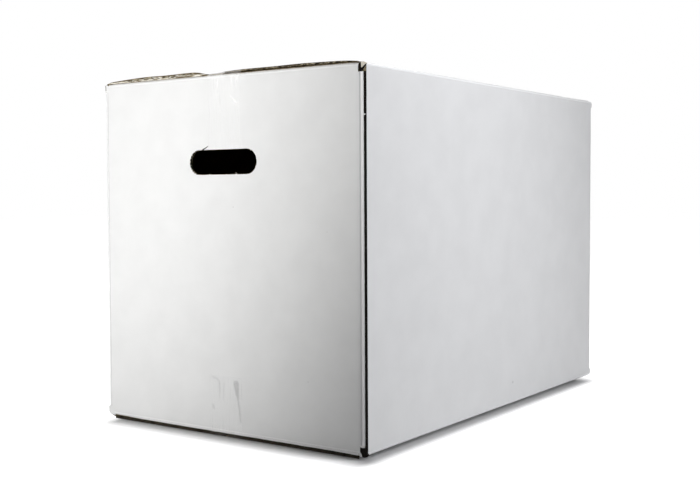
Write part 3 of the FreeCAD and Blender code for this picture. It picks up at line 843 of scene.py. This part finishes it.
def lap_edge():
    """The glue lap's raw edge: flattened fluting between the liners, up the near corner, painted
    near-black as shade.
    """
    z = up_the_lap(160)
    x = np.array([LAP - 0.4, HALF_WIDTH - CALIPER / 2, HALF_WIDTH - 0.1])
    y = -HALF_LENGTH + SIDE_INSET - 0.1 + 0.1 * ripples(87, 9, z)
    return sheet_of("lap_edge_fluting", (x, y, z), (x, y + 0.5, z), z, (0, 1.5, 3.0), (PAINTED_SHADE_EDGE,) * 3)


def pressed_fold():
    """The front panel's fold at the lap, pressed flat where the glue was set: painted white as burnish and
    highlight.
    """
    z = up_the_lap(60)
    x = LAP + np.array([-4.7, -4.2, -3.1, -2.6, -1.9, -0.8, 0.4])
    y = -HALF_LENGTH + np.array([-0.03, -0.04, -0.04, -0.03, -0.02, 0.06, 0.5])
    # burnished and painted white as highlight on the round, a line of painted shade at the score
    marks = {"wear_and_highlight": (0, 0, 0, 0.7, 1, 1, 1), "score_shade": (0, 0.5, 0.5, 0, 0, 0, 0)}
    marks = {word: np.array(row) + 0 * z for word, row in marks.items()}
    return sheet_of("pressed_fold", (x, y, z), (x, y + LINER, z), z, x, (WHITE, KRAFT_FACE, WHITE), marks)


def squashed_fold():
    """The front panel's bottom fold, squashed flat by standing, the more so towards the lap."""
    x = np.linspace(-178.0, 176.6, 120)[::-1, None]
    low = along([(-178, 5.2), (-120, 4.2), (0, 4.0), (85, 4.0), (150, 4.0), (176.6, 3.6)], x)
    low = low + 0.12 * ripples(95, 20, x)
    y = -HALF_LENGTH + np.array([0.62, 0.4, 0.42])
    z = low + (6.5 - low) * np.array([0.0, 0.15, 1.0])
    return sheet_of("squashed_fold", (x, y, z), (x, y + LINER, z), x, (0, 0.5, 4.0),
                    (WHITE, KRAFT_FACE, KRAFT_EDGE))


def liner_tatters():
    """The side flap's liner, torn to tatters along the foot of its crushed front end."""
    x = np.arange(-177.0, -31.0, 1.5)[::-1, None]
    tall = np.clip(0.55 + 1.0 * ripples(97, 17, x) + 0.4 * ripples(98, 6, x), 0.0, 1.6)
    y = -HALF_LENGTH + 0.55 + 0.1 * ripples(99, 9, x)
    z = HIGH_CREASE + np.hstack([0 * x - 0.25, tall - 0.1])
    return sheet_of("liner_tatters", (x, y, z), (x, y + 0.15, z), x, (0, 1.0), (TORN_LINER,) * 3,
                    keep=np.minimum(tall[:-1], tall[1:]) > 0.08)


def shaded_cut_end(name, side, end):
    """A lower side flap's cut end painted near-black as shade: the strip of crushed paper in front of it.
    """
    run = np.arange(11.0, REACH, 1.5)[:, None]
    w = run[::-1] if side * end > 0 else run
    y = end * (HALF_LENGTH - SIDE_INSET + 0.1 + 0.1 * ripples(91, 7, w))
    height = np.array([0.25, 1.5, 2.7, 4.0])
    z = height + 0.15 * ripples(93, 9, w) * (height > 0.3)
    x = side * (HALF_WIDTH - w)
    return sheet_of(name, (x, y, z), (x, y - end * 0.3, z), run, height, SHADED_PAPERS)


board_pieces += [hole_wall("hand_hole_wall_front", -1), hole_wall("hand_hole_wall_rear", 1),
                 lap_edge(), pressed_fold(), squashed_fold(), liner_tatters()]
board_pieces += [shaded_cut_end(f"shaded_cut_end_{k}", side, end)
                 for k, (side, end) in enumerate(((-1, -1), (1, -1), (-1, 1), (1, 1)))]


def paper_chip(name, outline, front, back, material):
    """A scrap of crushed or torn board: an outline in x and z, from one y to another."""
    flat = np.array(outline, float)
    points = [[(x, y, z) for x, z in flat] for y in (front, back)]
    points = shape_as_used(np.array(points)) * MM
    count = len(flat)
    mesh = bpy.data.meshes.new(name)
    faces = [tuple(range(count)), tuple(range(2 * count - 1, count - 1, -1))]
    faces += [(k + count, (k + 1) % count + count, (k + 1) % count, k) for k in range(count)]
    mesh.from_pydata(points.reshape(-1, 3).tolist(), [], faces)
    mesh.materials.append(material)
    return put(name, mesh)


ON_PANEL = (-287.45, -287.1)  # a scrap's front and back, on the front panel's liner
CHIPS = [  # name, front and back face in y, paper, outline in x and z
    # The near upper corner: painted shade in the mitre of the fold, the flap's crushed end above it
    # painted pale, partly as highlight, and the panel's below it.
    ("mitre_shadow", -286.62, -285.0, PAINTED_SHADE_EDGE, [
        (179.6, 388.2), (187.7, 387.9), (187.7, 395.2), (186.0, 396.4), (179.6, 397.0)]),
    ("flap_end_at_mitre", -286.95, -284.8, PALE_END_AND_HIGHLIGHT, [
        (181.4, 397.6), (184.6, 397.7), (187.0, 396.6), (187.7, 395.6), (185.5, 394.2), (183.3, 392.4),
        (181.8, 392.0)]),
    ("panel_end_at_mitre", -286.9, -284.8, KRAFT_EDGE, [
        (183.4, 388.2), (187.7, 388.2), (187.7, 393.7), (186.0, 392.3), (184.4, 390.4)]),
    # The near lower corner: crushed board painted near-black as shade, with the end flap's edge curled
    # into the slot and the liner hanging over the slot's upper end.
    ("lower_mitre_shadow", -286.66, -285.0, PAINTED_SHADE_EDGE, [
        (177.2, 12.6), (187.7, 14.2), (187.7, 4.4), (186.2, 3.0), (183.2, 2.3), (181.2, 2.4),
        (178.6, 4.6), (177.2, 8.4)]),
    ("curled_flap_corner", -287.2, -286.5, WHITE, [
        (177.1, 7.3), (178.7, 6.8), (180.3, 4.9), (180.7, 3.3), (179.0, 2.4), (177.1, 3.4)]),
    ("liner_over_lower_slot", *ON_PANEL, WHITE, [
        (176.8, 14.4), (184.6, 14.4), (184.5, 12.5), (181.2, 12.1), (178.4, 12.5), (176.9, 11.9)]),
    ("liner_over_left_slot", *ON_PANEL, WHITE, [
        (-187.9, 14.6), (-187.9, 7.4), (-186.6, 5.6), (-184.6, 4.5), (-177.0, 3.9), (-177.0, 7.0),
        (-182.6, 8.4), (-184.4, 14.6)]),
    # The far upper corner: crushed liner closes the slot but for a slit, and the flap's end is pale.
    ("liner_over_far_slot", -287.3, -286.75, WHITE, [
        (-187.8, 388.3), (-187.5, 395.2), (-186.2, 397.0), (-184.1, 397.7), (-183.9, 388.3)]),
    ("far_slit", -287.4, -287.25, FLUTING, [
        (-187.4, 395.8), (-186.4, 396.5), (-186.0, 390.8), (-186.6, 389.9)]),
    ("pale_flap_end", -286.95, -286.6, PALE_END_AND_HIGHLIGHT, [
        (-182.6, 398.0), (-181.4, 398.6), (-176.0, 399.0), (-169.0, 399.1), (-159.0, 399.3),
        (-151.0, 399.1), (-155.0, 398.2)]),
    # A scrap of liner bridges the raw edge, and a dark sheet paints the shade in a small tear over the
    # hand hole.
    ("scrap_on_raw_edge", -287.3, -286.4, WHITE, [
        (182.4, 346.0), (184.3, 346.7), (186.9, 346.3), (186.3, 345.3), (184.6, 344.9), (182.9, 345.3)]),
    ("shade_in_tear_over_hand_hole", -287.56, -287.2, PAINTED_SHADE_EDGE, [
        (-31.9, 316.2), (-30.8, 317.4), (-27.8, 318.4), (-22.6, 320.8), (-22.4, 320.3), (-26.4, 317.9),
        (-28.3, 316.9), (-28.6, 316.2)]),
]
for name, front, back, material, outline in CHIPS:
    board_pieces.append(paper_chip(name, outline, front, back, material))

# Pale marks round the front hand hole, partly nicks that the knife has left and partly painted
# highlight on the liner's cut edge: places on its round ends, and along its foot.
LONG_NICK = 17.7
draw = np.random.default_rng(9)
rim = [(math.radians(a), HOLE_X - HOLE_STRAIGHT) for a in (118, 141, 158, 176, 193, 207, 219, 232, 246)]
rim += [(math.radians(a), HOLE_X + HOLE_STRAIGHT) for a in (68, 41, 12, -24)]
rim += [(math.radians(-90), x) for x in (-21.0, 3.5, LONG_NICK)]
for k, (angle, centre) in enumerate(rim):
    out = np.array((math.cos(angle), math.sin(angle)))
    side = np.array((-out[1], out[0]))
    foot = np.array((centre, HOLE_Z)) + out * (HOLE_HALF_HEIGHT + 0.15)
    half, tall = draw.uniform(0.6, 1.1), draw.uniform(0.8, 1.6)
    if centre == LONG_NICK:
        half, tall = 1.1, 2.7
    tip = foot - out * tall + side * draw.uniform(-0.5, 0.5)
    board_pieces.append(paper_chip(
        f"rim_nick_and_highlight_{k}", [tuple(foot + side * half), tuple(tip), tuple(foot - side * half)],
        *ON_PANEL, PALE_END_AND_HIGHLIGHT))

for piece in board_pieces:
    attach(piece, "root")
    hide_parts("box_board")

# ---------- the tapes
TAPE_WIDTH = 48.0
FILM_LINE = 0.03  # the adhesive under the film
FILM_THICK = 0.06
TOP_TAIL = 66.0  # how far the top tape runs down the rear from the upper fold
BOTTOM_TAIL = 63.5  # how far the bottom tape runs up both ends from the lower fold
TAPE_COLUMNS = 97
TOOTH = 0.5  # height of the teeth that the dispenser's blade leaves
GLINT_OVER_CUT = (2.2, 0.8)  # painted highlight on the film over the flaps' front ends, left and right
FLAP_STEPS = (35, 100, 160, 205, 232, 250, 264, 274, 280, 284, 285.9)  # from the middle out


def over_seam(x, up, gap):
    """The tape's way from the front fold over the flaps to the rear fold, gap off the board.

    A way is a list of rows across the tape, each its y and z.
    """
    radius = FOLD + gap
    halves = []
    for end in (-1, 1):
        cut = end * (HALF_LENGTH - SIDE_INSET)
        rise = rise_over(up, x, cut)
        reach = np.hypot(FOLD - SIDE_INSET, FOLD + rise + gap)
        turn = np.arctan2(FOLD + rise + gap, FOLD - SIDE_INSET) - np.arccos(radius / reach)
        part = [(end * (HALF_LENGTH - FOLD + radius * np.cos(turn * t)),
                 CREASE[up] - up * (FOLD - radius * np.sin(turn * t))) for t in (0, 0.5, 1)]
        part.append((cut, CREASE[up] + up * (rise + gap)))
        halves.append(part)
    between = [(y, CREASE[up] + up * (rise_over(up, x, y) + gap))
               for y in [-step for step in reversed(FLAP_STEPS)] + list(FLAP_STEPS)]
    return halves[0] + between + halves[1][::-1]


def down_face(end, z_from, z_to, gap, steps):
    """Rows on an end panel's outer face between two heights."""
    return [(end * (HALF_LENGTH + gap), z_from + (z_to - z_from) * k / steps)
            for k in range(steps + 1)]


# Marks on the front tails: how strong, and points of x, z and half width along each. On the upper
# tail they are streaks of painted highlight on the film; on the lower one, painted dark reflections along
# its creases.
PAINTED_GLINTS = [
    (0.5, [(-13.0, 393.0, 0.8), (-13.2, 381.0, 0.5)]),
    (0.6, [(-7.8, 392.5, 1.6), (-8.6, 379.0, 0.9)]),
    (0.5, [(11.8, 392.6, 1.4), (11.4, 384.5, 0.9)]),
    (0.9, [(20.0, 393.0, 1.6), (19.6, 386.0, 1.0)]),
    (0.4, [(-5.0, 374.0, 0.9), (-4.2, 366.5, 0.5)]),
    (1.0, [(12.2, 372.2, 0.7), (14.6, 369.2, 1.0), (20.4, 365.8, 0.9)]),
]
CREASE_DARK_REFLECTIONS = [
    (0.35, [(-19.6, 65.0, 0.8), (-13.2, 63.8, 1.0), (-9.8, 60.6, 1.1)]),
    (0.4, [(-9.8, 60.6, 1.1), (-9.2, 52.0, 0.8), (-9.8, 42.0, 0.3)]),
    (0.3, [(-3.0, 59.0, 0.4), (-4.6, 41.0, 0.4)]),
    (0.25, [(5.6, 55.0, 0.3), (5.4, 42.0, 0.3)]),
    (0.7, [(14.6, 60.0, 3.8), (15.8, 51.0, 2.6), (17.4, 42.0, 1.1), (19.4, 30.0, 0.9), (20.2, 19.0, 0.6)]),
    (0.25, [(22.4, 60.0, 0.5), (23.0, 44.0, 0.3)]),
    (0.4, [(-19.4, 33.2, 1.5), (-18.4, 30.4, 1.4)]),
]


def smear(x, z, paths):
    """How much of each point the marks cover, from 0 to 1, soft at their edges."""
    cover = np.zeros_like(x)
    for strong, path in paths:
        for (x0, z0, half0), (x1, z1, half1) in zip(path[:-1], path[1:]):
            t = np.clip(((x - x0) * (x1 - x0) + (z - z0) * (z1 - z0))
                        / ((x1 - x0) ** 2 + (z1 - z0) ** 2), 0, 1)
            away = np.hypot(x - x0 - t * (x1 - x0), z - z0 - t * (z1 - z0))
            inside = half0 + (half1 - half0) * t + 1.0 - away
            cover = np.maximum(cover, strong * np.clip(inside / 2.0, 0, 1))
    return cover


def tape_strip(name, centre, up, rows_of):
    """A tape laid over its rows, with its toothed cuts."""
    x = centre + TAPE_WIDTH * (np.arange(TAPE_COLUMNS) / (TAPE_COLUMNS - 1) - 0.5)
    if up > 0:
        x = x[::-1]
    layers = []
    for gap in (FILM_LINE + FILM_THICK, FILM_LINE):
        rows = rows_of(x, gap)
        grid = np.zeros((TAPE_COLUMNS, len(rows), 3))
        for j, (y, z) in enumerate(rows):
            grid[:, j, 0], grid[:, j, 1], grid[:, j, 2] = x, y, z
        teeth = TOOTH * (np.arange(TAPE_COLUMNS) % 2)
        for last, before in ((0, 1), (-1, -2)):
            grid[:, last, 2] += np.sign(grid[:, before, 2] - grid[:, last, 2]) * teeth
        layers.append(grid)
    steps = np.linalg.norm(np.diff(layers[0], axis=1), axis=2).mean(axis=0)
    run = np.concatenate([[0], np.cumsum(steps)])[None, :]
    keep = np.ones((TAPE_COLUMNS - 1, layers[0].shape[1] - 1), bool)
    across, y, z = (layers[0][..., k] for k in range(3))
    on_front = y < -HALF_LENGTH
    over_cut_ends = (y < -HALF_LENGTH + 1.5) & (z > HIGH_CREASE + 0.3)
    # painted highlight: glinting streaks, and white film over the flaps' cut ends
    painted_glint = smear(across, z, PAINTED_GLINTS) * on_front + np.where(across < 0, *GLINT_OVER_CUT) * over_cut_ends
    marks = {"painted_glint": painted_glint, "crease_dark_reflection": smear(across, z, CREASE_DARK_REFLECTIONS) * on_front}
    piece = sheet_mesh(name, shape_as_used(layers[0]), shape_as_used(layers[1]), keep,
                       x[:, None], run, (FILM,) * 3, marks)
    piece.visible_shadow = False  # clear film throws no shadow to speak of
    return piece


def top_tape_rows(x, gap):
    """In at the front hand hole, round its rim, up the panel, over the seam, down the rear."""
    rim = HOLE_Z + HOLE_HALF_HEIGHT
    inside, outside = -HALF_LENGTH + CALIPER + gap, -HALF_LENGTH - gap
    rows = [(inside, rim + 8), (inside, rim + 0.8), (inside, rim - gap), (-HALF_LENGTH + 1.9, rim - gap),
            (outside, rim - gap), (outside, rim + 0.8)]
    rows += down_face(-1, rim + 4, HIGH_CREASE - FOLD - 1, gap, 48) + over_seam(x, 1, gap)
    return rows + down_face(1, HIGH_CREASE - FOLD - 1, HIGH_CREASE - TOP_TAIL, gap, 7)


def bottom_tape_rows(x, gap):
    """From the front panel down round the bottom and up the rear."""
    tail = LOW_CREASE + BOTTOM_TAIL
    rows = down_face(-1, tail, LOW_CREASE + FOLD + 1, gap, 40)
    return rows + over_seam(x, -1, gap) + down_face(1, LOW_CREASE + FOLD + 1, tail, gap, 7)


for node, centre, up, rows_of in (("top_tape", 1.4, 1, top_tape_rows),
                                  ("bottom_tape", -1.0, -1, bottom_tape_rows)):
    piece = tape_strip(f"{node}_film", centre, up, rows_of)
    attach(piece, "root")
    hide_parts(node)

# ---------- studio, in metres
AMBIENT = 0.02  # the white round the box, as a light
PAPER_GLOW = 0.02  # glow at the box's foot, rising to plain white away from it: a painted shadow round the box
WHITE_FROM = 0.044  # metres from the box
SHADOW_FALLS = (0.014, -0.019)  # the painted shadow is shifted this far from the box's middle towards its lap corner
BESIDE = 1.8  # how much sooner the painted shadow fades beside the box than before it
FLOOR_HALF = 9.0  # metres
FLOOR_UNDER = 0.0002  # metres under the box, so that the two faces are apart


def seen_directly(tree):
    """1 for what the camera, a reflection or a clear film shows, 0 for light falling on things."""
    rays = add(tree, "LightPath").outputs
    seen = maths(tree, "MAXIMUM", rays["Is Camera Ray"], rays["Is Glossy Ray"])
    return maths(tree, "MAXIMUM", seen, rays["Is Transmission Ray"])


def studio_paper():
    """Seamless white paper: it keeps the box's shadow, and glows plain white beyond a painted shadow round
    the box's footprint.
    """
    material, tree = new_material("seamless_studio_paper")
    footprint = (HALF_WIDTH * MM - abs(SHADOW_FALLS[0]), HALF_LENGTH * MM - abs(SHADOW_FALLS[1]), 1.0)
    out = vectors(tree, "SUBTRACT", on_object(tree), (*SHADOW_FALLS, 0.0))
    out = vectors(tree, "SUBTRACT", vectors(tree, "ABSOLUTE", out), footprint)
    out = vectors(tree, "MAXIMUM", out, (0.0, 0.0, 0.0))
    # painted shadow: the glow rises with the distance from the box's footprint
    away = vectors(tree, "LENGTH", vectors(tree, "MULTIPLY", out, (BESIDE, 1.0, 1.0)))
    glow = mapped(tree, away, (0.0, WHITE_FROM), (PAPER_GLOW, 1.0), interpolation_type="SMOOTHSTEP")
    paper = add(tree, "BsdfDiffuse", {"Color": linear("#C8C8C8")}).outputs[0]
    light = add(tree, "Emission", {"Strength": glow}).outputs[0]
    shown = add(tree, "AddShader", {0: paper, 1: light}).outputs[0]
    both = add(tree, "MixShader", {0: seen_directly(tree), 1: paper, 2: shown})
    add(tree, "OutputMaterial", {"Surface": both.outputs[0]})
    return material


floor = put("studio_floor", bpy.data.meshes.new("studio_floor"))
floor.data.from_pydata([(x * FLOOR_HALF, y * FLOOR_HALF, cad_low.z - FLOOR_UNDER)
                        for x, y in ((-1, -1), (1, -1), (1, 1), (-1, 1))], [], [(0, 1, 2, 3)])
floor.data.materials.append(studio_paper())

world = bpy.data.worlds.new("white_studio")
bpy.context.scene.world = world
world.use_nodes = True
tree = world.node_tree
tree.nodes.clear()
strength = mapped(tree, seen_directly(tree), (0.0, 1.0), (AMBIENT, 1.0))
sky = add(tree, "Background", {"Color": linear("#FFFFFF"), "Strength": strength})
add(tree, "OutputWorld", {"Surface": sky.outputs[0]})

SOFTBOXES = [  # name, where it stands, what it points at, its size in metres, watts, colour
    ("key_softbox", (0.135, -0.888, 0.435), (-0.5, -0.5, 0.8), (0.21, 1.06), 7.8, "#FFFFFF"),
    ("fill_softbox", (-0.95, -0.95, 0.45), (-0.1, -0.29, 0.3), (0.5, 0.5), 0.4, "#FFFFFF"),
    ("front_card", (-0.6, -0.7, 0.08), (-0.15, -0.29, 0.05), (0.3, 0.1), 0.45, "#FFFFFF"),
    ("side_softbox", (0.947, 0.088, 0.46), (0.22, -0.48, -0.16), (0.28, 1.82), 9.6, "#FAFBFF"),
    ("side_card", (0.8, 0.0, 0.05), (0.188, 0.0, 0.05), (0.6, 0.1), 0.1, "#FAFBFF"),
    ("back_softbox", (-1.15, 1.35, 1.6), (0, 0, 0.2), (1.2, 1.2), 30.0, "#FFFFFF"),
]
for name, at, towards, size, watts, colour in SOFTBOXES:
    light = bpy.data.lights.new(name, "AREA")
    light.shape = "RECTANGLE"
    light.size, light.size_y = size
    light.energy = watts
    light.color = linear(colour)[:3]
    lamp = put(name, light)
    lamp.location = at
    lamp.rotation_mode = "QUATERNION"
    lamp.rotation_quaternion = (Vector(towards) - Vector(at)).to_track_quat("-Z", "Y")
    lamp.visible_camera = False

# ---------- camera
CAMERA_AT = (0.77707, -1.15958, 0.2677)
AZIMUTH, PITCH, ROLL = (math.radians(a) for a in (34.956, 2.938, -0.276))
back = Vector((math.sin(AZIMUTH) * math.cos(PITCH), -math.cos(AZIMUTH) * math.cos(PITCH),
               math.sin(PITCH)))
level = Vector((math.cos(AZIMUTH), math.sin(AZIMUTH), 0))
upright = back.cross(level)
right = level * math.cos(ROLL) + upright * math.sin(ROLL)
up = upright * math.cos(ROLL) - level * math.sin(ROLL)
lens = bpy.data.cameras.new("camera")
lens.sensor_width = 36.0
lens.lens = 54.62
lens.clip_start, lens.clip_end = 0.01, 50.0
camera = put("camera", lens)
camera.matrix_world = Matrix((
    (right.x, up.x, back.x, CAMERA_AT[0]),
    (right.y, up.y, back.y, CAMERA_AT[1]),
    (right.z, up.z, back.z, CAMERA_AT[2]),
    (0, 0, 0, 1),
))
bpy.context.scene.camera = camera
bpy.context.scene.view_settings.view_transform = "Standard"

bpy.context.view_layer.update()
